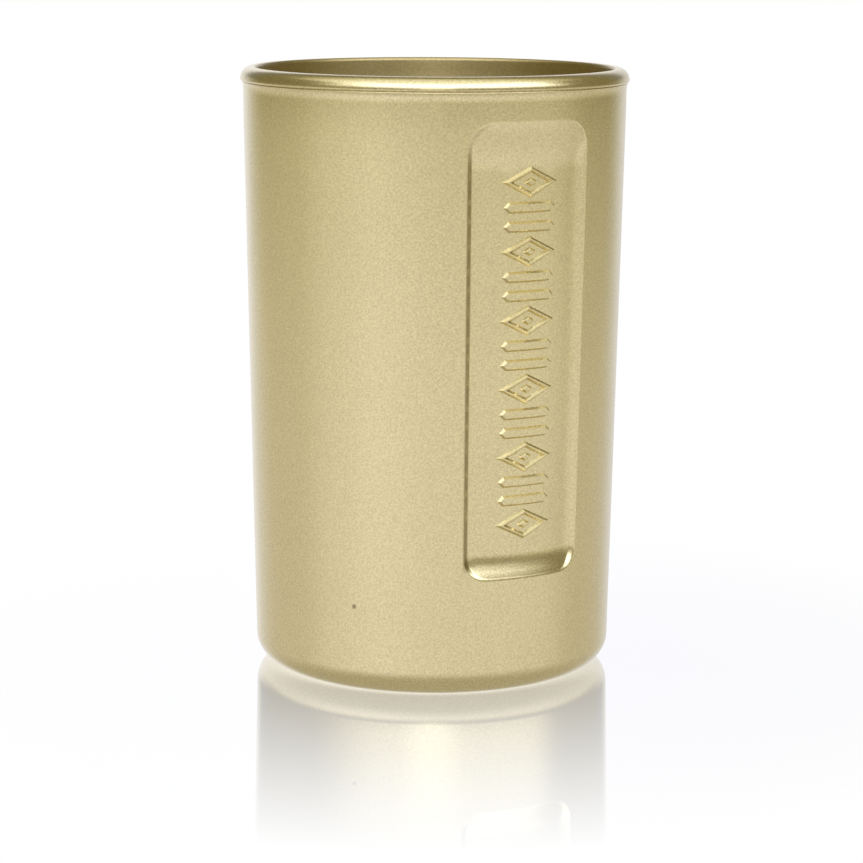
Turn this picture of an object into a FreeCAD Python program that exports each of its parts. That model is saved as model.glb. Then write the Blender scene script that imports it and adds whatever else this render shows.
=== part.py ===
import FreeCAD, Part
import math
import os

# Double-walled metal shot cup, millimetres.  +Z is up and the cup stands on z = 0 with its
# axis on Z.  The pressed panel is centred on the front, which is -Y.

# ---- driving dimensions ----
HEIGHT = 58.9
RIM_RADIUS = 18.95
SHEET = 0.4

# lip: the inner cup's edge rolled outwards over the top edge of the outer shell
LIP_WIDTH = 1.6
LIP_OUTER_ROUND = 1.15
LIP_INNER_ROUND = 0.35
LIP_LEAN = 0.06
LIP_LEAN_DROP = 1.1
LIP_DROP = 0.2
LIP_EDGE_ROUND = 0.18

# outer shell
FOOT_WALL_RADIUS = 17.55
TOP_WALL_RADIUS = 18.72
EASE = 0.05
EASE_LENGTH = 4.4
FLARE = 0.1
FLARE_LENGTH = 1.0
BRIM = 0.06
BRIM_LENGTH = 0.5
FOOT_CORNER = 2.6
COLLAR_RADIUS = 13.4
COLLAR_TURN = 0.8
COLLAR_HEIGHT = 2.2

# panel pressed into the front of the outer shell
PANEL_DEPTH = 0.7
PANEL_BOTTOM = 11.3
PANEL_TOP = 54.9
PANEL_HALF_ANGLE = 20.6
PANEL_SIDE_RAMP = 1.1
PANEL_BOTTOM_RAMP = 2.6
PANEL_TOP_RAMP = 3.4
PANEL_TOP_CORNER = 3.0
PANEL_BOTTOM_CORNER = 2.6
PANEL_EDGE_ROUND = 0.45
WEDGE_REACH = 4.0
PICK_TOLERANCE = 0.05

# raised ornament on the floor of the panel
RELIEF_HEIGHT = 0.25
RELIEF_ROOT = 0.1
RELIEF_BOTTOM = 15.2
RELIEF_TOP = 50.6
RELIEF_MARGIN = 2.0
RELIEF_UNITS = 6
BAR_HALF_WIDTH = 2.9
BAR_HEIGHT = 1.05
BAR_SPACING = 1.8
BAR_POINT = 0.55
LOZENGE_HALF_WIDTH = 3.1
LOZENGE_HALF_HEIGHT = 1.45
LOZENGE_HOLE_SCALE = 0.6
LOZENGE_CORE_SCALE = 0.3

# inner cup
NECK_RADIUS = 17.3
NECK_HEIGHT = 1.4
SHOULDER_DROP = 3.0
SHOULDER_RADIUS = 17.05
FLOOR_RADIUS = 15.2
FLOOR_LEVEL = 5.0
FLOOR_CORNER = 3.2

# seal
SEAL_DEPTH = 0.5

# base plate
PLATE_LEVEL = 0.8
PLATE_TURN = 0.6
PLATE_STEP_RADIUS = 10.4
PLATE_STEP_RISE = 0.5
PLATE_STEP_RUN = 0.9

# ---- derived dimensions ----
LIP_CENTRE_RADIUS = RIM_RADIUS - LIP_OUTER_ROUND
LIP_CENTRE_LEVEL = HEIGHT - LIP_OUTER_ROUND
INNER_LIP_RADIUS = RIM_RADIUS - LIP_WIDTH
LIP_FOOT_LEVEL = LIP_CENTRE_LEVEL - LIP_DROP
SHELL_NECK_RADIUS = RIM_RADIUS - SHEET
EASE_START = LIP_FOOT_LEVEL - EASE_LENGTH
FLARE_START = LIP_FOOT_LEVEL - FLARE_LENGTH
BRIM_START = LIP_FOOT_LEVEL - BRIM_LENGTH
TAPER = (TOP_WALL_RADIUS - FOOT_WALL_RADIUS) / LIP_FOOT_LEVEL
CLEAR_RADIUS = RIM_RADIUS + 0.6


def wall_radius(z):
    """Outer radius of the shell's plain conical wall at height z."""
    return FOOT_WALL_RADIUS + TAPER * z


def flared_radius(z):
    """Outer radius at height z: the wall eases in, then flares out to the brim under the lip."""
    ease = max(0, z - EASE_START) / EASE_LENGTH
    flare = max(0, z - FLARE_START) / FLARE_LENGTH
    brim = max(0, z - BRIM_START) / BRIM_LENGTH
    return wall_radius(z) - EASE * ease**2 + FLARE * flare**2 + BRIM * brim**2


def point(r, z):
    return FreeCAD.Vector(r, 0, z)


def line(a, b):
    return Part.LineSegment(a, b).toShape()


def arc(a, middle, b):
    return Part.Arc(a, middle, b).toShape()


def arc_middle(r, top, radius, side):
    """Middle of the quarter arc that turns down from (r, top).  side is 1 outwards, -1 inwards."""
    half_turn = math.sqrt(0.5)
    return point(r + side * radius * half_turn, top - radius * (1 - half_turn))


def revolve(edges):
    """Solid of revolution about Z from the edges of one closed profile in the XZ plane."""
    face = Part.Face(Part.Wire(edges))
    return face.revolve(FreeCAD.Vector(0, 0, 0), FreeCAD.Vector(0, 0, 1), 360)


def polyline(points):
    """Straight edges through a closed ring of points."""
    return [line(points[i], points[(i + 1) % len(points)]) for i in range(len(points))]


def tangent_corner(before, corner, after, radius):
    """Start, middle and end of the arc that rounds a corner between two straight runs."""
    first = (before - corner).normalize()
    second = (after - corner).normalize()
    half = first.getAngle(second) / 2
    reach = radius / math.tan(half)
    towards_centre = (first + second).normalize()
    start = corner + first * reach
    end = corner + second * reach
    middle = corner + towards_centre * (radius / math.sin(half) - radius)
    return start, middle, end


def shell_side(offset):
    """Edges of the shell's side from the top of its neck down to its collar's top edge.

    offset 0 is the outer face, and offset SHEET is the inner one.
    """

    def flared(z):
        return point(flared_radius(z) - offset, z - offset)

    neck_top = point(SHELL_NECK_RADIUS - offset, LIP_CENTRE_LEVEL)
    neck_foot = point(SHELL_NECK_RADIUS - offset, LIP_FOOT_LEVEL - offset)
    wall_top = flared(LIP_FOOT_LEVEL)
    ease_foot = flared(EASE_START)
    corner = point(wall_radius(offset) - offset, offset)
    collar_corner = point(COLLAR_RADIUS + offset, offset)
    collar_top = point(COLLAR_RADIUS + offset, COLLAR_HEIGHT)
    foot = tangent_corner(ease_foot, corner, collar_corner, FOOT_CORNER - offset)
    turn = tangent_corner(corner, collar_corner, collar_top, COLLAR_TURN - offset)
    bends = [LIP_FOOT_LEVEL, BRIM_START, FLARE_START, EASE_START]
    edges = [line(neck_top, neck_foot), line(neck_foot, wall_top)]
    for upper, lower in zip(bends, bends[1:]):
        edges.append(arc(flared(upper), flared((upper + lower) / 2), flared(lower)))
    edges += [
        line(ease_foot, foot[0]),
        arc(*foot),
        line(foot[2], turn[0]),
        arc(*turn),
        line(turn[2], collar_top),
    ]
    return edges, neck_top, collar_top


def panel_wedge(z, extra):
    """Outline, at height z, of the wedge between the panel's two side ramps."""
    depth = PANEL_DEPTH + extra
    ramp = depth * PANEL_SIDE_RAMP / PANEL_DEPTH
    radius = wall_radius(z)
    edge_angle = math.radians(PANEL_HALF_ANGLE) + extra / radius
    floor_angle = edge_angle - ramp / radius
    edge = FreeCAD.Vector(radius * math.sin(edge_angle), -radius * math.cos(edge_angle), z)
    floor_radius = radius - depth
    floor = FreeCAD.Vector(floor_radius * math.sin(floor_angle),
                           -floor_radius * math.cos(floor_angle), z)
    reach = (edge - floor) * WEDGE_REACH
    right = [floor - reach, edge + reach, FreeCAD.Vector(edge.x + reach.x, -2 * RIM_RADIUS, z)]
    left = [FreeCAD.Vector(-p.x, p.y, p.z) for p in reversed(right)]
    return Part.Wire(polyline(right + left))


def panel_tool(extra):
    """Solid that presses the panel: it runs from the panel's floor outwards past the wall.

    extra moves every face of the recess outwards from it, into the sheet.
    """
    depth = PANEL_DEPTH + extra
    bottom = PANEL_BOTTOM - extra
    top = PANEL_TOP + extra
    bottom_run = PANEL_BOTTOM_RAMP / PANEL_DEPTH
    top_run = PANEL_TOP_RAMP / PANEL_DEPTH
    floor_bottom = bottom + depth * bottom_run
    floor_top = top - depth * top_run
    ring = revolve(polyline([
        point(wall_radius(floor_bottom) - depth, floor_bottom),
        point(CLEAR_RADIUS, bottom - (CLEAR_RADIUS - wall_radius(bottom)) * bottom_run),
        point(CLEAR_RADIUS, top + (CLEAR_RADIUS - wall_radius(top)) * top_run),
        point(wall_radius(floor_top) - depth, floor_top),
    ]))
    wedge = Part.makeLoft([panel_wedge(0, extra), panel_wedge(HEIGHT, extra)], True, True)
    tool = ring.common(wedge)
    tool = round_edges(tool, is_top_corner, PANEL_TOP_CORNER)
    tool = round_edges(tool, is_bottom_corner, PANEL_BOTTOM_CORNER)

    def is_floor_edge(edge):
        return abs(depth_below_wall(edge) - depth) < PICK_TOLERANCE

    return round_edges(tool, is_floor_edge, PANEL_EDGE_ROUND + extra)


def edge_middle(edge):
    return edge.valueAt((edge.FirstParameter + edge.LastParameter) / 2)


def depth_below_wall(edge):
    """How far the middle of an edge lies inside the shell's plain outer wall."""
    middle = edge_middle(edge)
    return wall_radius(middle.z) - math.hypot(middle.x, middle.y)


def is_panel_brink(edge):
    """True for the edges where the panel's ramps meet the wall."""
    middle = edge_middle(edge)
    on_wall = abs(depth_below_wall(edge)) < PICK_TOLERANCE
    return on_wall and middle.y < 0 and PANEL_BOTTOM / 2 < middle.z < PANEL_TOP + SHEET \
        and abs(middle.x) < FOOT_WALL_RADIUS / 2


def is_corner(edge):
    """True for the edges where a side of the panel tool meets its top or bottom ramp."""
    ends = [vertex.Point for vertex in edge.Vertexes]
    if len(ends) < 2:
        return False
    radii = [math.hypot(p.x, p.y) for p in ends]
    spans_ramp = abs(radii[0] - radii[1]) > PANEL_DEPTH
    return spans_ramp and abs(ends[0].z - ends[1].z) < HEIGHT / 4


def is_top_corner(edge):
    return is_corner(edge) and edge_middle(edge).z > HEIGHT / 2


def is_bottom_corner(edge):
    return is_corner(edge) and edge_middle(edge).z < HEIGHT / 2


def round_edges(solid, wanted, radius):
    """Fillet the solid's edges that the function wanted picks out."""
    edges = [edge for edge in solid.Edges if wanted(edge)]
    return solid.makeFillet(radius, edges)


def relief_prism(points):
    """Straight prism from an outline of (x, z) points, through the panel's floor."""
    corners = [FreeCAD.Vector(x, -CLEAR_RADIUS, z) for x, z in points]
    return Part.Face(Part.Wire(polyline(corners))).extrude(FreeCAD.Vector(0, CLEAR_RADIUS / 2, 0))


def bar(z):
    """Outline of a flat bar across the panel with pointed ends."""
    reach = BAR_HALF_WIDTH
    shoulder = BAR_HALF_WIDTH - BAR_POINT
    h = BAR_HEIGHT / 2
    return [(-reach, z), (-shoulder, z - h), (shoulder, z - h),
            (reach, z), (shoulder, z + h), (-shoulder, z + h)]


def lozenge(z, scale):
    w = LOZENGE_HALF_WIDTH * scale
    h = LOZENGE_HALF_HEIGHT * scale
    return [(-w, z), (0, z - h), (w, z), (0, z + h)]


def relief_prisms():
    """Bead-and-reel band: framed lozenges with a solid core, and two bars after each of them."""
    prisms = []
    unit = (RELIEF_TOP - RELIEF_BOTTOM - 2 * LOZENGE_HALF_HEIGHT) / (RELIEF_UNITS - 1)
    for index in range(RELIEF_UNITS):
        middle = RELIEF_BOTTOM + LOZENGE_HALF_HEIGHT + index * unit
        frame = relief_prism(lozenge(middle, 1))
        prisms.append(frame.cut(relief_prism(lozenge(middle, LOZENGE_HOLE_SCALE))))
        prisms.append(relief_prism(lozenge(middle, LOZENGE_CORE_SCALE)))
        if index < RELIEF_UNITS - 1:
            prisms.append(relief_prism(bar(middle + (unit - BAR_SPACING) / 2)))
            prisms.append(relief_prism(bar(middle + (unit + BAR_SPACING) / 2)))
    return prisms


def make_relief():
    low = RELIEF_BOTTOM - RELIEF_MARGIN
    high = RELIEF_TOP + RELIEF_MARGIN
    root = -PANEL_DEPTH - RELIEF_ROOT
    crown = -PANEL_DEPTH + RELIEF_HEIGHT
    layer = revolve(polyline([
        point(wall_radius(low) + root, low), point(wall_radius(low) + crown, low),
        point(wall_radius(high) + crown, high), point(wall_radius(high) + root, high),
    ]))
    return Part.makeCompound(relief_prisms()).common(layer).Solids


def make_outer_shell():
    outer_edges, outer_top, outer_end = shell_side(0)
    inner_edges, inner_top, inner_end = shell_side(SHEET)
    section = outer_edges + [line(outer_end, inner_end)] + inner_edges + [line(inner_top, outer_top)]
    plain = revolve(Part.__sortEdges__(section))
    core_low = PANEL_BOTTOM / 2
    core = revolve(polyline([
        point(0, core_low), point(wall_radius(core_low) - SHEET / 2, core_low),
        point(wall_radius(LIP_FOOT_LEVEL) - SHEET / 2, LIP_FOOT_LEVEL), point(0, LIP_FOOT_LEVEL),
    ]))
    backing = panel_tool(SHEET).common(core)
    pressed = plain.fuse(backing).cut(panel_tool(0)).removeSplitter()
    shell = round_edges(pressed.Solids[0], is_panel_brink, PANEL_EDGE_ROUND)
    return shell.fuse(make_relief()).removeSplitter().Solids[0]


def make_inner_cup():
    lean_foot = point(INNER_LIP_RADIUS, HEIGHT - LIP_LEAN_DROP)
    round_radius = INNER_LIP_RADIUS + LIP_LEAN
    round_foot = point(round_radius, HEIGHT - LIP_INNER_ROUND)
    crest = point(round_radius + LIP_INNER_ROUND, HEIGHT)
    round_middle = arc_middle(round_radius + LIP_INNER_ROUND, HEIGHT, LIP_INNER_ROUND, -1)
    outer_crest = point(LIP_CENTRE_RADIUS, HEIGHT)
    outer_middle = arc_middle(LIP_CENTRE_RADIUS, HEIGHT, LIP_OUTER_ROUND, 1)
    lip_outer = point(RIM_RADIUS, LIP_CENTRE_LEVEL)
    edge_corner = point(RIM_RADIUS, LIP_FOOT_LEVEL)
    hem_foot = point(SHELL_NECK_RADIUS, LIP_FOOT_LEVEL)
    edge = tangent_corner(lip_outer, edge_corner, hem_foot, LIP_EDGE_ROUND)
    hem_top = point(SHELL_NECK_RADIUS, LIP_CENTRE_LEVEL)
    hollow_middle = arc_middle(LIP_CENTRE_RADIUS, HEIGHT - SHEET, LIP_OUTER_ROUND - SHEET, 1)
    hollow_crest = point(LIP_CENTRE_RADIUS, HEIGHT - SHEET)
    hollow_corner = point(INNER_LIP_RADIUS + SHEET, HEIGHT - SHEET)
    lip = [
        line(lean_foot, round_foot),
        arc(round_foot, round_middle, crest),
        line(crest, outer_crest),
        arc(outer_crest, outer_middle, lip_outer),
        line(lip_outer, edge[0]),
        arc(*edge),
        line(edge[2], hem_foot),
        line(hem_foot, hem_top),
        arc(hem_top, hollow_middle, hollow_crest),
        line(hollow_crest, hollow_corner),
    ]

    def side(offset, start):
        neck = point(NECK_RADIUS + offset, LIP_CENTRE_LEVEL - NECK_HEIGHT)
        shoulder = point(SHOULDER_RADIUS + offset, LIP_CENTRE_LEVEL - SHOULDER_DROP)
        corner = point(FLOOR_RADIUS + offset, FLOOR_LEVEL - offset)
        centre = point(0, FLOOR_LEVEL - offset)
        bend = tangent_corner(shoulder, corner, centre, FLOOR_CORNER + offset)
        edges = [
            line(start, neck),
            line(neck, shoulder),
            line(shoulder, bend[0]),
            arc(*bend),
            line(bend[2], centre),
        ]
        return edges, centre

    inner_edges, inner_centre = side(0, lean_foot)
    outer_edges, outer_centre = side(SHEET, hollow_corner)
    section = lip + inner_edges + outer_edges + [line(inner_centre, outer_centre)]
    return revolve(Part.__sortEdges__(section))


def make_rim_seal():
    """Sealing ring between the two walls, with a rounded head inside the rolled lip."""
    foot = LIP_CENTRE_LEVEL - SEAL_DEPTH
    inner = INNER_LIP_RADIUS + SHEET
    neck_inner = SHELL_NECK_RADIUS - SHEET
    head_foot = point(SHELL_NECK_RADIUS, LIP_CENTRE_LEVEL)
    head_top = point(LIP_CENTRE_RADIUS, HEIGHT - SHEET)
    head_middle = arc_middle(LIP_CENTRE_RADIUS, HEIGHT - SHEET, LIP_OUTER_ROUND - SHEET, 1)
    return revolve([
        line(point(inner, foot), point(neck_inner, foot)),
        line(point(neck_inner, foot), point(neck_inner, LIP_CENTRE_LEVEL)),
        line(point(neck_inner, LIP_CENTRE_LEVEL), head_foot),
        arc(head_foot, head_middle, head_top),
        line(head_top, point(inner, HEIGHT - SHEET)),
        line(point(inner, HEIGHT - SHEET), point(inner, foot)),
    ])


def make_base_plate():
    """Stepped disc with an upturned skirt that is pressed into the shell's collar."""

    def side(offset):
        skirt_top = point(COLLAR_RADIUS - offset, COLLAR_HEIGHT)
        corner = point(COLLAR_RADIUS - offset, PLATE_LEVEL + offset)
        step_foot = point(PLATE_STEP_RADIUS, PLATE_LEVEL + offset)
        step_top = point(PLATE_STEP_RADIUS - PLATE_STEP_RUN, PLATE_LEVEL + PLATE_STEP_RISE + offset)
        centre = point(0, PLATE_LEVEL + PLATE_STEP_RISE + offset)
        turn = tangent_corner(skirt_top, corner, step_foot, PLATE_TURN - offset)
        edges = [
            line(skirt_top, turn[0]),
            arc(*turn),
            line(turn[2], step_foot),
            line(step_foot, step_top),
            line(step_top, centre),
        ]
        return edges, skirt_top, centre

    lower, lower_top, lower_centre = side(0)
    upper, upper_top, upper_centre = side(SHEET)
    section = lower + upper + [line(lower_top, upper_top), line(lower_centre, upper_centre)]
    return revolve(Part.__sortEdges__(section))


NODES = {
    "outer_shell": make_outer_shell,
    "inner_cup": make_inner_cup,
    "rim_seal": make_rim_seal,
    "base_plate": make_base_plate,
}

os.makedirs("parts", exist_ok=True)
for name, make in NODES.items():
    shape = make()
    print(name, shape.ShapeType, len(shape.Solids), shape.isValid(), round(shape.Volume, 2))
    shape.exportStep(f"parts/{name}.step")
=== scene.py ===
import math

import bpy
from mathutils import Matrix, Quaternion, Vector
from mathutils.geometry import delaunay_2d_cdt


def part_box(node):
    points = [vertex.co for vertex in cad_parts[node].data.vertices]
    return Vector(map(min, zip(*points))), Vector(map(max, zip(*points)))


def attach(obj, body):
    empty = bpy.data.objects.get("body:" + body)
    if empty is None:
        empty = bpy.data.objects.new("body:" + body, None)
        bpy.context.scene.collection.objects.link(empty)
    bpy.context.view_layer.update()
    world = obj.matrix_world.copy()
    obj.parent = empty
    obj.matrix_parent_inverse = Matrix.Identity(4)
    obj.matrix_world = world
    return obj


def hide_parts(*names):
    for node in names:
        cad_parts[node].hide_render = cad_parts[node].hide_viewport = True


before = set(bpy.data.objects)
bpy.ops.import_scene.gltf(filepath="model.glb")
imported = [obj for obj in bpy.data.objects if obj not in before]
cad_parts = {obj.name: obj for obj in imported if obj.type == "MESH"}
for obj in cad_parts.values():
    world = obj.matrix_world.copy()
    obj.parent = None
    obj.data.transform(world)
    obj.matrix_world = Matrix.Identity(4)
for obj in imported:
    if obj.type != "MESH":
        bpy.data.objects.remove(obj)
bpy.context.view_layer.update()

# Double-walled metal shot cup.  Everything is in metres, in the CAD frame: +Z up, the cup's axis
# on Z, the pressed panel on the front at -Y.  Angles round the cup are measured from the front.

MM = 0.001
BODY = "root"

# ---- sizes from the frame ----
cup_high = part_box("inner_cup")[1]
plate_low, plate_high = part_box("base_plate")
HEIGHT = cup_high.z
RIM_RADIUS = cup_high.x
COLLAR_RADIUS = plate_high.x
COLLAR_HEIGHT = plate_high.z
PLATE_LEVEL = plate_low.z

# ---- the cup's own dimensions ----
SHEET = 0.4 * MM
LIP_WIDTH = 1.6 * MM
LIP_OUTER_ROUND = 1.15 * MM
LIP_INNER_ROUND = 0.35 * MM
LIP_LEAN = 0.06 * MM
LIP_LEAN_DROP = 1.1 * MM
LIP_DROP = 0.2 * MM
LIP_EDGE_ROUND = 0.18 * MM
FOOT_WALL_RADIUS = 17.55 * MM
TOP_WALL_RADIUS = 18.72 * MM
EASE = 0.05 * MM
EASE_LENGTH = 4.4 * MM
FLARE = 0.1 * MM
FLARE_LENGTH = 1.0 * MM
BRIM = 0.06 * MM
BRIM_LENGTH = 0.5 * MM
FOOT_CORNER = 2.6 * MM
COLLAR_TURN = 0.8 * MM

PANEL_DEPTH = 0.57 * MM
PANEL_STEP_SHARE = 0.32
PANEL_BOTTOM = 11.3 * MM
PANEL_TOP = 54.9 * MM
PANEL_HALF_ANGLE = math.radians(20.6)
PANEL_SIDE_STEP = 0.6 * MM
PANEL_END_STEP = 0.4 * MM
PANEL_SIDE_DISH = 1.8 * MM
PANEL_BOTTOM_DISH = 2.7 * MM
PANEL_TOP_DISH = 4.6 * MM
PANEL_TOP_CORNER = 3.0 * MM
PANEL_BOTTOM_CORNER = 2.6 * MM

RELIEF_HEIGHT = 0.25 * MM
RELIEF_SLOPE = 0.2 * MM
RELIEF_BOTTOM = 15.2 * MM
RELIEF_TOP = 50.6 * MM
RELIEF_UNITS = 6
BAR_HALF_WIDTH = 2.9 * MM
BAR_HEIGHT = 1.05 * MM
BAR_SPACING = 1.8 * MM
BAR_POINT = 0.55 * MM
LOZENGE_HALF_WIDTH = 3.1 * MM
LOZENGE_HALF_HEIGHT = 1.45 * MM
LOZENGE_HOLE_SCALE = 0.6
LOZENGE_CORE_SCALE = 0.3

NECK_RADIUS = 17.3 * MM
NECK_HEIGHT = 1.4 * MM
SHOULDER_DROP = 3.0 * MM
SHOULDER_RADIUS = 17.05 * MM
FLOOR_RADIUS = 15.2 * MM
FLOOR_LEVEL = 5.0 * MM
FLOOR_CORNER = 3.2 * MM

PLATE_TURN = 0.6 * MM
PLATE_STEP_RADIUS = 10.4 * MM
PLATE_STEP_RISE = 0.5 * MM
PLATE_STEP_RUN = 0.9 * MM
PLATE_STEP_ROUND = 0.8 * MM

LIP_CENTRE_RADIUS = RIM_RADIUS - LIP_OUTER_ROUND
LIP_CENTRE_LEVEL = HEIGHT - LIP_OUTER_ROUND
INNER_LIP_RADIUS = RIM_RADIUS - LIP_WIDTH
LIP_FOOT_LEVEL = LIP_CENTRE_LEVEL - LIP_DROP
SHELL_NECK_RADIUS = RIM_RADIUS - SHEET
EASE_START = LIP_FOOT_LEVEL - EASE_LENGTH
FLARE_START = LIP_FOOT_LEVEL - FLARE_LENGTH
BRIM_START = LIP_FOOT_LEVEL - BRIM_LENGTH
TAPER = (TOP_WALL_RADIUS - FOOT_WALL_RADIUS) / LIP_FOOT_LEVEL

# ---- mesh fineness ----
LATHE_SEGMENTS = 240
COLUMN_ANGLE = math.radians(1.8)
ARC_STEP = math.radians(7)
PATCH_HALF_ANGLE = math.radians(26)
PATCH_BOTTOM = 8.6 * MM
PATCH_TOP = 56.2 * MM
BRIM_ROWS = 10
FOOT_ROWS = 5
COLLAR_ROWS = 3
NECK_ROWS = 4
CUP_SIDE_ROWS = 24
CUP_FLOOR_RINGS = 8
PLATE_RINGS = 6
PATCH_ROWS = 40
FLAT_RADIUS = FOOT_WALL_RADIUS
PATCH_COLUMNS = 36
PATCH_GRID = 0.6 * MM
STEP_LEVELS = 10
CORNER_STEPS = 8
OUTLINE_STEP = 0.55 * MM
RELIEF_STEP = 0.5 * MM
RELIEF_CLEARANCE = 0.25 * MM
STEP_CLEARANCE = (-0.5, 1.35)
NORMAL_STEP = 0.01 * MM
SHARP_ANGLE = math.radians(40)
POLE_RADIUS = 1e-9

# the patch is triangulated in millimetres, and Blender's mode 1 keeps the triangles inside it
TRIANGLES_INSIDE = 1
MERGE_DISTANCE = 1e-5
SLIVER_AREA = 1e-9


# ------------------------------------------------------------------ profiles

def arc_points(centre, radius, start, end):
    """Points of an arc in the (r, z) plane, from angle start to angle end."""
    count = max(2, math.ceil(abs(end - start) / ARC_STEP))
    return [
        (centre[0] + radius * math.cos(start + (end - start) * i / count),
         centre[1] + radius * math.sin(start + (end - start) * i / count))
        for i in range(count + 1)
    ]


def rounded(before, corner, after, radius):
    """Points of the arc that rounds the corner between two straight runs."""
    a = (Vector(before) - Vector(corner)).normalized()
    b = (Vector(after) - Vector(corner)).normalized()
    half = a.angle(b) / 2
    centre = Vector(corner) + (a + b).normalized() * (radius / math.sin(half))
    first = Vector(corner) + a * (radius / math.tan(half)) - centre
    last = Vector(corner) + b * (radius / math.tan(half)) - centre
    start = math.atan2(first.y, first.x)
    sweep = math.atan2(first.x * last.y - first.y * last.x, first.dot(last))
    return arc_points(centre, radius, start, start + sweep)


def straight(a, b, count):
    """Points between a and b, without the two ends."""
    return [tuple(Vector(a).lerp(Vector(b), i / count)) for i in range(1, count)]


def wall_radius(z):
    """Outer radius at height z: a cone that eases in, then flares out to the brim under the lip."""
    ease = max(0.0, z - EASE_START) / EASE_LENGTH
    flare = max(0.0, z - FLARE_START) / FLARE_LENGTH
    brim = max(0.0, z - BRIM_START) / BRIM_LENGTH
    return FOOT_WALL_RADIUS + TAPER * z - EASE * ease**2 + FLARE * flare**2 + BRIM * brim**2


# ------------------------------------------------------------------ meshes

def make_object(name, vertices, faces, material, node):
    mesh = bpy.data.meshes.new(name)
    mesh.from_pydata(vertices, [], faces)
    mesh.validate()
    mesh.materials.append(material)
    piece = bpy.data.objects.new(name, mesh)
    bpy.context.collection.objects.link(piece)
    for polygon in mesh.polygons:
        polygon.use_smooth = True
    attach(piece, BODY)
    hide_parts(node)
    return piece


def place(r, angle, z):
    """Point at radius r and height z, at an angle round from the front."""
    return Vector((r * math.sin(angle), -r * math.cos(angle), z))


def lathe(profile):
    """Vertices and faces of the closed profile turned about Z.  Points at r = 0 become poles."""
    vertices, rings, faces = [], [], []
    for r, z in profile:
        if r < POLE_RADIUS:
            rings.append([len(vertices)])
            vertices.append(Vector((0, 0, z)))
            continue
        rings.append(list(range(len(vertices), len(vertices) + LATHE_SEGMENTS)))
        for i in range(LATHE_SEGMENTS):
            vertices.append(place(r, 2 * math.pi * i / LATHE_SEGMENTS, z))
    for k, ring in enumerate(rings):
        following = rings[(k + 1) % len(rings)]
        if len(ring) == 1 and len(following) == 1:
            continue
        for i in range(LATHE_SEGMENTS):
            j = (i + 1) % LATHE_SEGMENTS
            if len(ring) == 1:
                faces.append((ring[0], following[i], following[j]))
            elif len(following) == 1:
                faces.append((ring[i], following[0], ring[j]))
            else:
                faces.append((ring[i], following[i], following[j], ring[j]))
    return vertices, faces


# ------------------------------------------------------------------ pressed panel

def half_width(z):
    """Half the panel's width along the wall at height z."""
    return PANEL_HALF_ANGLE * wall_radius(z)


def step_length(across, along):
    """Length of the step down in a corner, where the side's step turns into the end's."""
    return (PANEL_SIDE_STEP * across**2 + PANEL_END_STEP * along**2) / (across**2 + along**2)


def step_share(s, z):
    """How far down the panel's step a point lies: below 0 outside it, over 1 past it."""
    side = half_width(z) - abs(s)
    if PANEL_TOP - z < z - PANEL_BOTTOM:
        end, corner = PANEL_TOP - z, PANEL_TOP_CORNER
    else:
        end, corner = z - PANEL_BOTTOM, PANEL_BOTTOM_CORNER
    if side < corner and end < corner:
        across, along = corner - side, corner - end
        return (corner - math.hypot(across, along)) / step_length(across, along)
    return min(side / PANEL_SIDE_STEP, end / PANEL_END_STEP)


def press(share):
    """Share of the depth reached: it drops at once from a crisp brink and then levels out."""
    t = min(max(share, 0.0), 1.0)
    return t**1.5 * (2.5 - 1.5 * t)


def panel_height(angle, z):
    """Height of the pressed panel over the plain wall: a short step all round, then a dish."""
    s = angle * wall_radius(z)
    side_share = min(max((half_width(z) - abs(s)) / PANEL_SIDE_DISH, 0.0), 1.0)
    side_dish = 1 - (1 - side_share)**3
    ends = press((z - PANEL_BOTTOM) / PANEL_BOTTOM_DISH) * press((PANEL_TOP - z) / PANEL_TOP_DISH)
    depth = PANEL_DEPTH * (PANEL_STEP_SHARE + (1 - PANEL_STEP_SHARE) * side_dish)
    return -depth * ends * press(step_share(s, z))


def wall_point(angle, z, lift=0.0):
    return place(wall_radius(z) + panel_height(angle, z) + lift, angle, z)


def wall_normal(angle, z):
    """Outward normal of the pressed wall, without the ornament."""
    turn = NORMAL_STEP / wall_radius(z)
    across = wall_point(angle + turn, z) - wall_point(angle - turn, z)
    along = wall_point(angle, z + NORMAL_STEP) - wall_point(angle, z - NORMAL_STEP)
    return across.cross(along).normalized()


def outline(share):
    """Anticlockwise ring of (s, z) points where the panel's step has come down by a share."""
    points = []
    for k in range(4):
        side = 1 if k in (0, 3) else -1
        if k < 2:
            corner, centre_z = PANEL_TOP_CORNER, PANEL_TOP - PANEL_TOP_CORNER
        else:
            corner, centre_z = PANEL_BOTTOM_CORNER, PANEL_BOTTOM + PANEL_BOTTOM_CORNER
        centre_s = side * (half_width(centre_z) - corner)
        for i in range(CORNER_STEPS + 1):
            angle = math.pi / 2 * (k + i / CORNER_STEPS)
            across, along = math.cos(angle), math.sin(angle)
            reach = corner - share * step_length(across, along)
            points.append((centre_s + reach * across, centre_z + reach * along))
    return divided(points, OUTLINE_STEP)


def divided(points, step):
    """The same closed ring with its long sides cut into runs no longer than step."""
    ring = []
    for i, start in enumerate(points):
        end = points[(i + 1) % len(points)]
        count = max(1, math.ceil(math.dist(start, end) / step))
        for k in range(count):
            ring.append(tuple(Vector(start).lerp(Vector(end), k / count)))
    return ring


# ------------------------------------------------------------------ ornament

def bar(z):
    """Outline of a flat bar across the panel with pointed ends."""
    reach = BAR_HALF_WIDTH
    shoulder = BAR_HALF_WIDTH - BAR_POINT
    h = BAR_HEIGHT / 2
    return [(-reach, z), (-shoulder, z - h), (shoulder, z - h),
            (reach, z), (shoulder, z + h), (-shoulder, z + h)]


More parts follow.
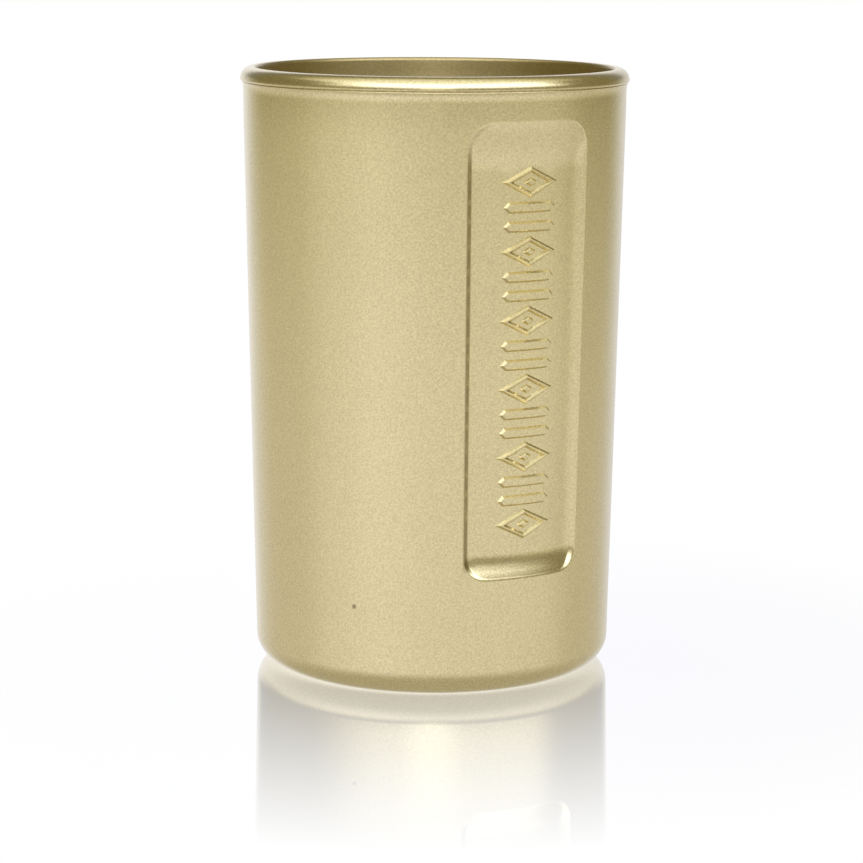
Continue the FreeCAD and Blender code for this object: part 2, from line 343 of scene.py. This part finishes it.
def lozenge(z, scale):
    w = LOZENGE_HALF_WIDTH * scale
    h = LOZENGE_HALF_HEIGHT * scale
    return [(-w, z), (0, z - h), (w, z), (0, z + h)]


def relief_outlines():
    """Bead-and-reel band: (outline, slope) pairs, where a hole has a slope below zero."""
    outlines = []
    unit = (RELIEF_TOP - RELIEF_BOTTOM - 2 * LOZENGE_HALF_HEIGHT) / (RELIEF_UNITS - 1)
    for index in range(RELIEF_UNITS):
        middle = RELIEF_BOTTOM + LOZENGE_HALF_HEIGHT + index * unit
        outlines.append((lozenge(middle, 1), RELIEF_SLOPE))
        outlines.append((lozenge(middle, LOZENGE_HOLE_SCALE), -RELIEF_SLOPE))
        outlines.append((lozenge(middle, LOZENGE_CORE_SCALE), RELIEF_SLOPE))
        if index < RELIEF_UNITS - 1:
            outlines.append((bar(middle + (unit - BAR_SPACING) / 2), RELIEF_SLOPE))
            outlines.append((bar(middle + (unit + BAR_SPACING) / 2), RELIEF_SLOPE))
    return outlines


def inset_ring(points, inset):
    """Anticlockwise ring moved inwards by inset, with mitred corners.  Below zero is outwards."""
    ring = []
    for i, corner in enumerate(points):
        before = Vector(points[i - 1])
        after = Vector(points[(i + 1) % len(points)])
        here = Vector(corner)
        a = (here - before).normalized()
        b = (after - here).normalized()
        left_a, left_b = Vector((-a.y, a.x)), Vector((-b.y, b.x))
        middle = (left_a + left_b).normalized()
        ring.append(tuple(here + middle * (inset / middle.dot(left_a))))
    return ring


# ------------------------------------------------------------------ outer shell

class ShellSurface:
    """Vertices, their normals and the faces of the outer shell, both of its sides together."""

    def __init__(self):
        self.vertices = []
        self.normals = []
        self.faces = []
        self.relief_faces = set()

    def add(self, point, normal):
        self.vertices.append(point)
        self.normals.append(normal)
        return len(self.vertices) - 1


def shell_angles():
    """Angles of the shell's columns: even inside the patch and even round the rest."""
    inner = [PATCH_HALF_ANGLE * (2 * i / PATCH_COLUMNS - 1) for i in range(PATCH_COLUMNS)]
    rest = 2 * math.pi - 2 * PATCH_HALF_ANGLE
    count = round(rest / COLUMN_ANGLE)
    return inner + [PATCH_HALF_ANGLE + rest * i / count for i in range(count)]


def shell_profile(offset):
    """The shell's side from neck to collar as (r, z) rows, and the patch's first and last row."""
    neck_top = (SHELL_NECK_RADIUS - offset, LIP_CENTRE_LEVEL)
    ledge = LIP_FOOT_LEVEL - offset
    neck_foot = (SHELL_NECK_RADIUS - offset, ledge)
    wall_top = (wall_radius(LIP_FOOT_LEVEL) - offset, ledge)
    rows = [neck_top, neck_foot, wall_top]
    rows += [(wall_radius(z + offset) - offset, z) for z in
             [ledge + (PATCH_TOP - ledge) * i / BRIM_ROWS for i in range(1, BRIM_ROWS)]]
    patch_start = len(rows)
    rows += [(wall_radius(z) - offset, z) for z in
             [PATCH_TOP + (PATCH_BOTTOM - PATCH_TOP) * i / PATCH_ROWS for i in range(PATCH_ROWS + 1)]]
    patch_end = len(rows) - 1
    corner = (wall_radius(offset) - offset, offset)
    collar_corner = (COLLAR_RADIUS + offset, offset)
    collar_top = (COLLAR_RADIUS + offset, COLLAR_HEIGHT)
    foot = rounded((wall_radius(PATCH_BOTTOM) - offset, PATCH_BOTTOM), corner, collar_corner,
                   FOOT_CORNER - offset)
    rows += straight(rows[-1], foot[0], FOOT_ROWS) + foot
    turn = rounded(corner, collar_corner, collar_top, COLLAR_TURN - offset)
    rows += straight(foot[-1], turn[0], COLLAR_ROWS) + turn
    rows += straight(turn[-1], collar_top, COLLAR_ROWS) + [collar_top]
    return rows, patch_start, patch_end


def side_normal(rows, k):
    """Outward normal of the profile at row k, in the (r, z) plane."""
    before, after = Vector(rows[max(k - 1, 0)]), Vector(rows[min(k + 1, len(rows) - 1)])
    run = (after - before).normalized()
    return -run.y, run.x


def build_side(surface, offset, outward, with_relief):
    """Adds one side of the shell's sheet.  Returns the vertex indices of its first and last rows."""
    angles = shell_angles()
    rows, patch_start, patch_end = shell_profile(offset)
    grid = []
    for k, (r, z) in enumerate(rows):
        nr, nz = side_normal(rows, k)
        row = []
        for column, angle in enumerate(angles):
            if patch_start < k < patch_end and 0 < column < PATCH_COLUMNS:
                row.append(None)
                continue
            if patch_start <= k <= patch_end:
                normal = wall_normal(angle, z) * outward
            else:
                normal = place(nr, angle, nz) * outward
            row.append(surface.add(place(r, angle, z), normal))
        grid.append(row)
    total = len(angles)
    for k in range(len(rows) - 1):
        for column in range(total):
            if patch_start <= k < patch_end and column < PATCH_COLUMNS:
                continue
            following = (column + 1) % total
            face = (grid[k][column], grid[k + 1][column], grid[k + 1][following], grid[k][following])
            surface.faces.append(face if outward > 0 else face[::-1])
    fill_patch(surface, grid, rows, angles, patch_start, patch_end, offset, outward, with_relief)
    return grid[0], grid[-1]


def fill_patch(surface, grid, rows, angles, patch_start, patch_end, offset, outward, with_relief):
    """Triangulates the part of the wall that holds the panel and its ornament."""
    points, edges, known, lifts = [], [], [], []

    def add_point(angle, z, vertex=None, lift=0.0):
        points.append(Vector((angle * FLAT_RADIUS, z)))
        known.append(vertex)
        lifts.append(lift)

    def add_ring(ring, lift):
        first = len(points)
        for i, (s, z) in enumerate(ring):
            add_point(s / wall_radius(z), z, lift=lift)
            edges.append((first + i, first + (i + 1) % len(ring)))

    border = [(patch_start, c) for c in range(PATCH_COLUMNS)]
    border += [(k, PATCH_COLUMNS) for k in range(patch_start, patch_end)]
    border += [(patch_end, c) for c in range(PATCH_COLUMNS, 0, -1)]
    border += [(k, 0) for k in range(patch_end, patch_start, -1)]
    for k, column in border:
        add_point(angles[column], rows[k][1], grid[k][column])
    edges += [(i, (i + 1) % len(border)) for i in range(len(border))]

    for level in range(-1, STEP_LEVELS + 1):
        add_ring(outline(level / STEP_LEVELS), 0.0)

    bumps = []
    if with_relief:
        for ring, slope in relief_outlines():
            add_ring(divided(ring, RELIEF_STEP), 0.0)
            add_ring(divided(inset_ring(ring, slope), RELIEF_STEP), RELIEF_HEIGHT)
            bumps.append(ring)

    columns = round(2 * half_width(PATCH_TOP) * PATCH_HALF_ANGLE / PANEL_HALF_ANGLE / PATCH_GRID)
    levels = round((PATCH_TOP - PATCH_BOTTOM) / PATCH_GRID)
    for j in range(1, levels):
        z = PATCH_BOTTOM + (PATCH_TOP - PATCH_BOTTOM) * j / levels
        for i in range(1, columns):
            angle = PATCH_HALF_ANGLE * (2 * i / columns - 1)
            s = angle * wall_radius(z)
            on_step = STEP_CLEARANCE[0] < step_share(s, z) < STEP_CLEARANCE[1]
            if not on_step and not near_relief(s, z, bumps):
                add_point(angle, z)

    flat_points = [p / MM for p in points]
    result = delaunay_2d_cdt(flat_points, edges, [], TRIANGLES_INSIDE, MERGE_DISTANCE)
    out_points, _, out_faces, sources = result[:4]
    index = []
    heights = []
    for point, source in zip(out_points, sources):
        angle, z = point.x * MM / FLAT_RADIUS, point.y * MM
        origin = [i for i in source if known[i] is not None]
        lift = max([lifts[i] for i in source], default=0.0)
        heights.append(lift)
        if origin:
            index.append(known[origin[0]])
            continue
        index.append(surface.add(wall_point(angle, z, lift - offset), wall_normal(angle, z) * outward))
    for face in out_faces:
        a, b, c = (out_points[i] for i in face)
        turn = (b - a).cross(c - a)
        if abs(turn) < SLIVER_AREA:
            continue
        ordered = [index[i] for i in face]
        if (turn > 0) != (outward > 0):
            ordered.reverse()
        lifted = [heights[i] for i in face]
        if max(lifted) > 0 and min(lifted) == 0:
            surface.relief_faces.add(len(surface.faces))
        surface.faces.append(tuple(ordered))


def near_relief(s, z, bumps):
    """True where a free grid point would crowd the ornament's own points."""
    margin = RELIEF_CLEARANCE
    for ring in bumps:
        if not min(p[1] for p in ring) - margin < z < max(p[1] for p in ring) + margin:
            continue
        if min(p[0] for p in ring) - margin < s < max(p[0] for p in ring) + margin:
            return True
    return False


def make_outer_shell(material):
    surface = ShellSurface()
    outer_top, outer_end = build_side(surface, 0.0, 1, True)
    inner_top, inner_end = build_side(surface, SHEET, -1, False)
    total = len(outer_top)
    edge_faces = []
    for i in range(total):
        j = (i + 1) % total
        edge_faces.append((inner_top[i], outer_top[i], outer_top[j], inner_top[j]))
        edge_faces.append((outer_end[i], inner_end[i], inner_end[j], outer_end[j]))
    flat_start = len(surface.faces)
    faces = surface.faces + edge_faces
    piece = make_object("outer_shell_pressed", surface.vertices, faces, material, "outer_shell")
    mesh = piece.data
    loop_normals = [None] * len(mesh.loops)
    for polygon in mesh.polygons:
        flat = polygon.index in surface.relief_faces or polygon.index >= flat_start
        for loop in polygon.loop_indices:
            vertex = mesh.loops[loop].vertex_index
            loop_normals[loop] = polygon.normal.copy() if flat else surface.normals[vertex]
    mesh.normals_split_custom_set(loop_normals)
    return piece


# ------------------------------------------------------------------ inner cup and base

def inner_cup_profile():
    quarter = math.pi / 2
    round_radius = INNER_LIP_RADIUS + LIP_LEAN
    lean_foot = (INNER_LIP_RADIUS, HEIGHT - LIP_LEAN_DROP)
    inner_round = arc_points((round_radius + LIP_INNER_ROUND, HEIGHT - LIP_INNER_ROUND),
                             LIP_INNER_ROUND, math.pi, quarter)
    lip_centre = (LIP_CENTRE_RADIUS, LIP_CENTRE_LEVEL)
    outer_round = arc_points(lip_centre, LIP_OUTER_ROUND, quarter, 0)
    edge_corner = (RIM_RADIUS, LIP_FOOT_LEVEL)
    hem_foot = (SHELL_NECK_RADIUS, LIP_FOOT_LEVEL)
    hem = rounded(outer_round[-1], edge_corner, hem_foot, LIP_EDGE_ROUND)
    hollow = arc_points(lip_centre, LIP_OUTER_ROUND - SHEET, 0, quarter)
    hollow_corner = (INNER_LIP_RADIUS + SHEET, HEIGHT - SHEET)
    lip = [lean_foot, *inner_round, *outer_round, *hem, hem_foot, *hollow, hollow_corner]

    def side(offset):
        neck = (NECK_RADIUS + offset, LIP_CENTRE_LEVEL - NECK_HEIGHT)
        shoulder = (SHOULDER_RADIUS + offset, LIP_CENTRE_LEVEL - SHOULDER_DROP)
        corner = (FLOOR_RADIUS + offset, FLOOR_LEVEL - offset)
        centre = (0.0, FLOOR_LEVEL - offset)
        bend = rounded(shoulder, corner, centre, FLOOR_CORNER + offset)
        return [neck, *straight(neck, shoulder, NECK_ROWS), shoulder,
                *straight(shoulder, bend[0], CUP_SIDE_ROWS), *bend,
                *straight(bend[-1], centre, CUP_FLOOR_RINGS), centre]

    return lip + side(SHEET) + side(0.0)[::-1]


def base_plate_profile():
    def side(offset):
        skirt_top = (COLLAR_RADIUS - offset, COLLAR_HEIGHT)
        corner = (COLLAR_RADIUS - offset, PLATE_LEVEL + offset)
        step_foot = (PLATE_STEP_RADIUS, PLATE_LEVEL + offset)
        step_level = PLATE_LEVEL + PLATE_STEP_RISE + offset
        step_top = (PLATE_STEP_RADIUS - PLATE_STEP_RUN, step_level)
        centre = (0.0, step_level)
        turn = rounded(skirt_top, corner, step_foot, PLATE_TURN - offset)
        foot = rounded(turn[-1], step_foot, step_top, PLATE_STEP_ROUND)
        top = rounded(step_foot, step_top, centre, PLATE_STEP_ROUND)
        return [skirt_top, *turn, *foot, *top, *straight(top[-1], centre, PLATE_RINGS), centre]

    return side(SHEET)[::-1] + side(0.0)


def make_lathe_piece(name, profile, material, node):
    vertices, faces = lathe(profile)
    piece = make_object(name, vertices, faces, material, node)
    piece.data.set_sharp_from_angle(angle=SHARP_ANGLE)
    return piece


# ------------------------------------------------------------------ materials

GOLD = (0.88, 0.765, 0.44)
GRAIN_SCALE = 5200
GRAIN_CONTRAST = 0.13
NOISE_DARK = 0.3
NOISE_LIGHT = 0.7
GRAIN_BUMP = 0.01 * MM
GRAIN_BUMP_STRENGTH = 0.4
CLOUD_SCALE = 90
ROUGHNESS = 0.26
ROUGHNESS_SPREAD = 0.015
COAT_WEIGHT = 0.45
COAT_ROUGHNESS = 0.2

# the part of the inner cup's coat that starts just inside the lip: its colour is darkened there as
# painted shade, and it is rougher
INSIDE_PAINTED_SHADE = (0.57, 0.52, 0.4)
INSIDE_ROUGHER = 0.14
INSIDE_START = INNER_LIP_RADIUS + 0.35 * MM
INSIDE_FULL = INNER_LIP_RADIUS + 0.05 * MM

# marks on the outer shell's coat: a pit with painted shade in it, and a line of painted shade along the
# panel's left crease
SHADE_TONE = (0.25, 0.19, 0.08)
PIT_RADIUS = 0.3 * MM
PIT_ANGLE = math.radians(-54.5)
PIT_LEVEL = 8.7 * MM
PIT_SHADE = 0.8
PIT_BUMP = 4.0
CREASE_ANGLE = PANEL_HALF_ANGLE - math.radians(0.95)
CREASE_WIDTH = math.radians(1.15)
CREASE_SHADE = 0.7
CREASE_TOP = (PANEL_TOP - 1 * MM, PANEL_TOP - 5 * MM)
CREASE_BOTTOM = (PANEL_BOTTOM + 0.6 * MM, PANEL_BOTTOM + 2 * MM)

SEAL_DARK = (0.2, 0.19, 0.17)
SEAL_PALE = (0.26, 0.25, 0.22)
SEAL_MOTTLE_SCALE = 1500
SEAL_ROUGHNESS = 0.7


class Network:
    """Small helper that adds linked nodes to a node tree."""

    def __init__(self, tree):
        self.nodes = tree.nodes
        self.links = tree.links

    def put(self, socket, value):
        if isinstance(value, bpy.types.NodeSocket):
            self.links.new(value, socket)
        else:
            socket.default_value = value

    def coordinates(self, kind):
        return self.nodes.new("ShaderNodeTexCoord").outputs[kind]

    def math(self, operation, *values):
        node = self.nodes.new("ShaderNodeMath")
        node.operation = operation
        for socket, value in zip(node.inputs, values):
            self.put(socket, value)
        return node.outputs["Value"]

    def vector(self, operation, output, *values):
        node = self.nodes.new("ShaderNodeVectorMath")
        node.operation = operation
        for socket, value in zip(node.inputs, values):
            self.put(socket, value)
        return node.outputs[output]

    def fade(self, value, start, end, low=0.0, high=1.0):
        """Smooth change from low to high while value goes from start to end."""
        node = self.nodes.new("ShaderNodeMapRange")
        node.interpolation_type = "SMOOTHSTEP"
        for name, number in (("From Min", start), ("From Max", end), ("To Min", low), ("To Max", high)):
            node.inputs[name].default_value = number
        self.put(node.inputs["Value"], value)
        return node.outputs["Result"]

    def blend(self, factor, a, b):
        """Number that goes from a to b with the factor."""
        node = self.nodes.new("ShaderNodeMix")
        self.put(node.inputs["Factor"], factor)
        self.put(node.inputs["A"], a)
        self.put(node.inputs["B"], b)
        return node.outputs["Result"]

    def mix(self, factor, a, b, blend_type="MIX"):
        """Colour that goes from a to b with the factor."""
        node = self.nodes.new("ShaderNodeMix")
        node.data_type = "RGBA"
        node.blend_type = blend_type
        self.put(node.inputs[0], factor)
        self.put(node.inputs[6], a)
        self.put(node.inputs[7], b)
        return node.outputs[2]

    def stops(self, factor, stops, interpolation="LINEAR"):
        """Colour ramp through (position, colour) stops."""
        node = self.nodes.new("ShaderNodeValToRGB")
        node.color_ramp.interpolation = interpolation
        while len(node.color_ramp.elements) < len(stops):
            node.color_ramp.elements.new(0.5)
        for element, (position, colour) in zip(node.color_ramp.elements, stops):
            element.position = position
            element.color = (*colour, 1)
        self.put(node.inputs["Fac"], factor)
        return node.outputs["Color"]

    def noise(self, coordinates, scale, detail):
        node = self.nodes.new("ShaderNodeTexNoise")
        node.inputs["Scale"].default_value = scale
        node.inputs["Detail"].default_value = detail
        self.put(node.inputs["Vector"], coordinates)
        return node.outputs["Fac"]


def new_material(name):
    material = bpy.data.materials.new(name)
    material.use_nodes = True
    return material, Network(material.node_tree), material.node_tree.nodes["Principled BSDF"]


def satin_coat(name, mark=None):
    """Satin metallic coat: fine flake grain that is also its bump, and faint cloudiness.

    mark is a function that changes the coat's colour, height or roughness in places; its colour changes
    are painted shade.
    """
    material, net, shader = new_material(name)
    place_in = net.coordinates("Object")
    grain = net.noise(place_in, GRAIN_SCALE, 2)
    cloud = net.noise(place_in, CLOUD_SCALE, 3)
    colour = net.stops(grain, [(NOISE_DARK, [c * (1 - GRAIN_CONTRAST) for c in GOLD]),
                               (NOISE_LIGHT, [c * (1 + GRAIN_CONTRAST) for c in GOLD])])
    roughness = net.fade(cloud, NOISE_DARK, NOISE_LIGHT,
                         ROUGHNESS - ROUGHNESS_SPREAD, ROUGHNESS + ROUGHNESS_SPREAD)
    coat = {"colour": colour, "height": grain, "roughness": roughness}
    if mark:
        mark(net, place_in, coat)
    net.put(shader.inputs["Base Color"], coat["colour"])
    net.put(shader.inputs["Roughness"], coat["roughness"])
    shader.inputs["Metallic"].default_value = 1.0
    shader.inputs["Coat Weight"].default_value = COAT_WEIGHT
    shader.inputs["Coat Roughness"].default_value = COAT_ROUGHNESS
    bump = net.nodes.new("ShaderNodeBump")
    bump.inputs["Strength"].default_value = GRAIN_BUMP_STRENGTH
    bump.inputs["Distance"].default_value = GRAIN_BUMP
    net.put(bump.inputs["Height"], coat["height"])
    net.put(shader.inputs["Normal"], bump.outputs["Normal"])
    return material


def shade_and_roughen_inside_cup(net, place_in, coat):
    """Painted shade inside the cup: below the lip the coat's colour is darkened, and the coat is also
    rougher there.
    """
    from_axis = net.vector("LENGTH", "Value", net.vector("MULTIPLY", "Vector", place_in, (1, 1, 0)))
    inside = net.fade(from_axis, INSIDE_START, INSIDE_FULL)
    # painted shade: the colour is made darker inside the cup
    coat["colour"] = net.mix(inside, coat["colour"], (*INSIDE_PAINTED_SHADE, 1), "MULTIPLY")
    coat["roughness"] = net.math("MULTIPLY_ADD", inside, INSIDE_ROUGHER, coat["roughness"])


def mark_pit_and_paint_crease_shade(net, place_in, coat):
    """One small pit low on the wall with painted shade in it, and a line of painted shade along the
    crease where the panel's left side steps down.
    """
    pit = place(wall_radius(PIT_LEVEL), PIT_ANGLE, PIT_LEVEL)
    pit_depth = net.fade(net.vector("DISTANCE", "Value", place_in, pit), PIT_RADIUS, PIT_RADIUS / 3)
    across = net.vector("DOT_PRODUCT", "Value", place_in, (1, 0, 0))
    forward = net.vector("DOT_PRODUCT", "Value", place_in, (0, -1, 0))
    level = net.vector("DOT_PRODUCT", "Value", place_in, (0, 0, 1))
    angle = net.math("ARCTAN2", across, forward)
    # painted shade: a dark line along the panel's left crease only, not its right
    from_crease = net.math("ABSOLUTE", net.math("ADD", angle, CREASE_ANGLE))
    crease = net.fade(from_crease, CREASE_WIDTH, CREASE_WIDTH / 4)
    crease = net.math("MULTIPLY", crease, net.fade(level, *CREASE_TOP))
    crease = net.math("MULTIPLY", crease, net.fade(level, *CREASE_BOTTOM))
    # painted shade in the pit, on top of its bump
    pit_shade = net.math("MULTIPLY", pit_depth, PIT_SHADE)
    shade = net.math("MAXIMUM", pit_shade, net.math("MULTIPLY", crease, CREASE_SHADE))
    coat["colour"] = net.mix(shade, coat["colour"], (*SHADE_TONE, 1))
    coat["height"] = net.math("SUBTRACT", coat["height"], net.math("MULTIPLY", pit_depth, PIT_BUMP))


def seal_material():
    material, net, shader = new_material("seal_compound")
    mottle = net.noise(net.coordinates("Object"), SEAL_MOTTLE_SCALE, 3)
    net.put(shader.inputs["Base Color"],
            net.stops(mottle, [(NOISE_DARK, SEAL_DARK), (NOISE_LIGHT, SEAL_PALE)]))
    shader.inputs["Roughness"].default_value = SEAL_ROUGHNESS
    return material


# ------------------------------------------------------------------ pieces

shell_coat = satin_coat("gold_coat", mark_pit_and_paint_crease_shade)
cup_coat = satin_coat("gold_coat_cup", shade_and_roughen_inside_cup)
base_coat = satin_coat("gold_coat_base")

shell = make_outer_shell(shell_coat)
cup = make_lathe_piece("inner_cup_rolled", inner_cup_profile(), cup_coat, "inner_cup")
plate = make_lathe_piece("base_plate_pressed", base_plate_profile(), base_coat, "base_plate")

seal = bpy.data.objects["rim_seal"]
seal.data.materials.clear()
seal.data.materials.append(seal_material())


# ------------------------------------------------------------------ studio

# camera: where the cup is looked at from, turned round the cup from the panel and a little above
VIEW_TURN = math.radians(-29.8)
DISTANCE = 279.7 * MM
CAMERA_HEIGHT = 73.95 * MM
PITCH = math.radians(10.38)
ROLL = 0.0056
SIDE_SHIFT = 0.137 * MM
LENS = 118.93
SENSOR = 36

up = Vector((0, 0, 1))
towards = Vector((math.sin(VIEW_TURN), -math.cos(VIEW_TURN), 0))
right = Vector((math.cos(VIEW_TURN), math.sin(VIEW_TURN), 0))
camera_data = bpy.data.cameras.new("camera")
camera_data.lens = LENS
camera_data.sensor_width = SENSOR
camera = bpy.data.objects.new("camera", camera_data)
bpy.context.collection.objects.link(camera)
camera.location = towards * DISTANCE - right * SIDE_SHIFT + up * CAMERA_HEIGHT
camera.rotation_mode = "QUATERNION"
look = -towards * math.cos(PITCH) - up * math.sin(PITCH)
camera.rotation_quaternion = Quaternion(look, -ROLL) @ look.to_track_quat("-Z", "Y")
bpy.context.scene.camera = camera

WHITE = (1, 1, 1, 1)

# floor: a small white glossy table that shows a fading reflection of the cup
STAGE_RADIUS = 120 * MM
STAGE_STEPS = 96
GLOSS_AT_FOOT = 0.66
GLOSS_START = 17 * MM
GLOSS_END = 62 * MM
GLOSS_ROUGHNESS = 0.02

floor_mesh = bpy.data.meshes.new("studio_floor")
floor_mesh.from_pydata(
    [place(STAGE_RADIUS, 2 * math.pi * i / STAGE_STEPS, 0) for i in range(STAGE_STEPS)],
    [], [tuple(range(STAGE_STEPS))])
floor = bpy.data.objects.new("studio_floor", floor_mesh)
bpy.context.collection.objects.link(floor)
floor.visible_glossy = False
floor.visible_diffuse = False
floor_paint = bpy.data.materials.new("studio_floor")
floor_paint.use_nodes = True
floor_mesh.materials.append(floor_paint)
net = Network(floor_paint.node_tree)
net.nodes.clear()
distance = net.vector("LENGTH", "Value", net.coordinates("Object"))
gloss_share = net.nodes.new("ShaderNodeMapRange")
gloss_share.inputs["From Min"].default_value = GLOSS_START
gloss_share.inputs["From Max"].default_value = GLOSS_END
gloss_share.inputs["To Min"].default_value = GLOSS_AT_FOOT
gloss_share.inputs["To Max"].default_value = 0.0
net.put(gloss_share.inputs["Value"], distance)
glow = net.nodes.new("ShaderNodeEmission")
gloss = net.nodes.new("ShaderNodeBsdfGlossy")
gloss.inputs["Color"].default_value = WHITE
gloss.inputs["Roughness"].default_value = GLOSS_ROUGHNESS
blend = net.nodes.new("ShaderNodeMixShader")
net.put(blend.inputs["Fac"], gloss_share.outputs["Result"])
net.links.new(glow.outputs["Emission"], blend.inputs[1])
net.links.new(gloss.outputs["BSDF"], blend.inputs[2])
output = net.nodes.new("ShaderNodeOutputMaterial")
net.links.new(blend.outputs["Shader"], output.inputs["Surface"])

# studio, as the cup mirrors it: a table that is dimmer straight below and fades into a dim room at
# the horizon, a white backdrop behind, a softbox overhead and a key light in front.  Each stop
# round the table is (turn, brightness, how low the dim room reaches), with the turn as a share of
# a whole one that starts behind and goes by the left, and by the camera at 0.5.
AROUND = [
    (0.00, 0.90, 0.5), (0.03, 0.88, 0.5), (0.06, 0.80, 0.5), (0.10, 0.64, 0.5), (0.16, 0.57, 0.5),
    (0.24, 0.60, 0.3), (0.32, 0.76, 0.1), (0.40, 0.86, 0.1), (0.45, 0.84, 0.4), (0.50, 0.80, 0.8),
    (0.60, 0.77, 0.5), (0.70, 0.73, 0.3), (0.74, 0.66, 0.4), (0.77, 0.56, 0.6), (0.80, 0.54, 0.7),
    (0.88, 0.54, 0.8), (0.94, 0.68, 0.5), (1.00, 0.86, 0.5),
]
TABLE_LEVEL = 1.1
UNDER_LEVEL = 0.45
ROOM_LEVEL = 0.2
OVERHEAD_LEVEL = 1.0
KEY_LEVEL = 1.9
HORIZON_DROP = 0.07

# where each light fades in, from none to full.  A rise is the sine of the angle over the horizon,
# a lead is the share of the direction that points at the camera, a turn is in radians from the
# camera, and the softbox's values are distances on a level ceiling one unit up.
TABLE_RISE = (0.05, -0.13)
UNDER_RISE = (-0.12, -0.8)
BACKDROP_LEAD = (-0.6, -0.9)
ABOVE_TABLE_RISE = (0.04, 0.2)
BESIDE_LEAD = (-0.91, -0.84)
BACKDROP_TOP_RISE = (0.4, 0.6)
SOFTBOX_SIDE = (1.25, 0.95)
SOFTBOX_BACK = (-0.8, 0.25)
KEY_LEFT_TURN = (-1.5, -0.5)
KEY_RIGHT_TURN = (1.6, 1.2)
KEY_LOW_RISE = (0.18, 0.38)
KEY_HIGH_RISE = (0.92, 0.66)
LEAST_RISE = 0.001

# tint: green and blue are powers of the brightness, so bright light is cooler than dim light, and
# light from low down is bluer.  The backdrop is white, with a little more blue.
GREEN_POWER = 1.086
BLUE_POWER = 1.465
BLUE_RISE = (-0.08, -0.24)
BLUE_AT_HORIZON = 0.92
BLUE_LOW_DOWN = 1.12
BACKDROP_BLUE = 1.06

world = bpy.data.worlds.new("studio")
bpy.context.scene.world = world
world.use_nodes = True
net = Network(world.node_tree)
direction = net.coordinates("Generated")
ahead = net.vector("DOT_PRODUCT", "Value", direction, towards)
aside = net.vector("DOT_PRODUCT", "Value", direction, right)
rise = net.vector("DOT_PRODUCT", "Value", direction, up)
turn = net.math("ARCTAN2", aside, ahead)
turn_share = net.math("MULTIPLY_ADD", turn, 1 / (2 * math.pi), 0.5)
around = net.stops(turn_share, [(share, (level, drop, 0)) for share, level, drop in AROUND], "EASE")
split = net.nodes.new("ShaderNodeSeparateColor")
net.put(split.inputs["Color"], around)
table = net.math("MULTIPLY", split.outputs["Red"], TABLE_LEVEL)
lowered = net.math("MULTIPLY_ADD", split.outputs["Green"], HORIZON_DROP, rise)
nearness = net.fade(lowered, *TABLE_RISE)
underneath = net.fade(rise, *UNDER_RISE)
lit_table = net.blend(underneath, table, UNDER_LEVEL)
front = net.blend(nearness, ROOM_LEVEL, lit_table)
beside = net.math("MULTIPLY", net.fade(rise, *ABOVE_TABLE_RISE), net.fade(ahead, *BESIDE_LEAD))
over_backdrop = net.math("MAXIMUM", beside, net.fade(rise, *BACKDROP_TOP_RISE))
backdrop = net.blend(over_backdrop, table, ROOM_LEVEL)
behind = net.fade(ahead, *BACKDROP_LEAD)
level = net.blend(behind, front, backdrop)
height = net.math("MAXIMUM", rise, LEAST_RISE)
plane_x = net.math("ABSOLUTE", net.math("DIVIDE", aside, height))
plane_y = net.math("DIVIDE", ahead, height)
overhead = net.math("MULTIPLY", net.fade(plane_x, *SOFTBOX_SIDE), net.fade(plane_y, *SOFTBOX_BACK))
level = net.blend(overhead, level, OVERHEAD_LEVEL)
key_width = net.math("MULTIPLY", net.fade(turn, *KEY_LEFT_TURN), net.fade(turn, *KEY_RIGHT_TURN))
key_height = net.math("MULTIPLY", net.fade(rise, *KEY_LOW_RISE), net.fade(rise, *KEY_HIGH_RISE))
level = net.blend(net.math("MULTIPLY", key_width, key_height), level, KEY_LEVEL)
warm_green = net.math("POWER", level, GREEN_POWER)
blue_share = net.fade(rise, *BLUE_RISE, BLUE_AT_HORIZON, BLUE_LOW_DOWN)
warm_blue = net.math("MULTIPLY", net.math("POWER", level, BLUE_POWER), blue_share)
tint = net.nodes.new("ShaderNodeCombineColor")
net.put(tint.inputs["Red"], level)
net.put(tint.inputs["Green"], net.blend(behind, warm_green, level))
net.put(tint.inputs["Blue"], net.blend(behind, warm_blue, net.math("MULTIPLY", level, BACKDROP_BLUE)))
is_camera = net.nodes.new("ShaderNodeLightPath").outputs["Is Camera Ray"]
net.put(net.nodes["Background"].inputs["Color"], net.mix(is_camera, tint.outputs["Color"], WHITE))

bpy.context.scene.view_settings.view_transform = "Standard"
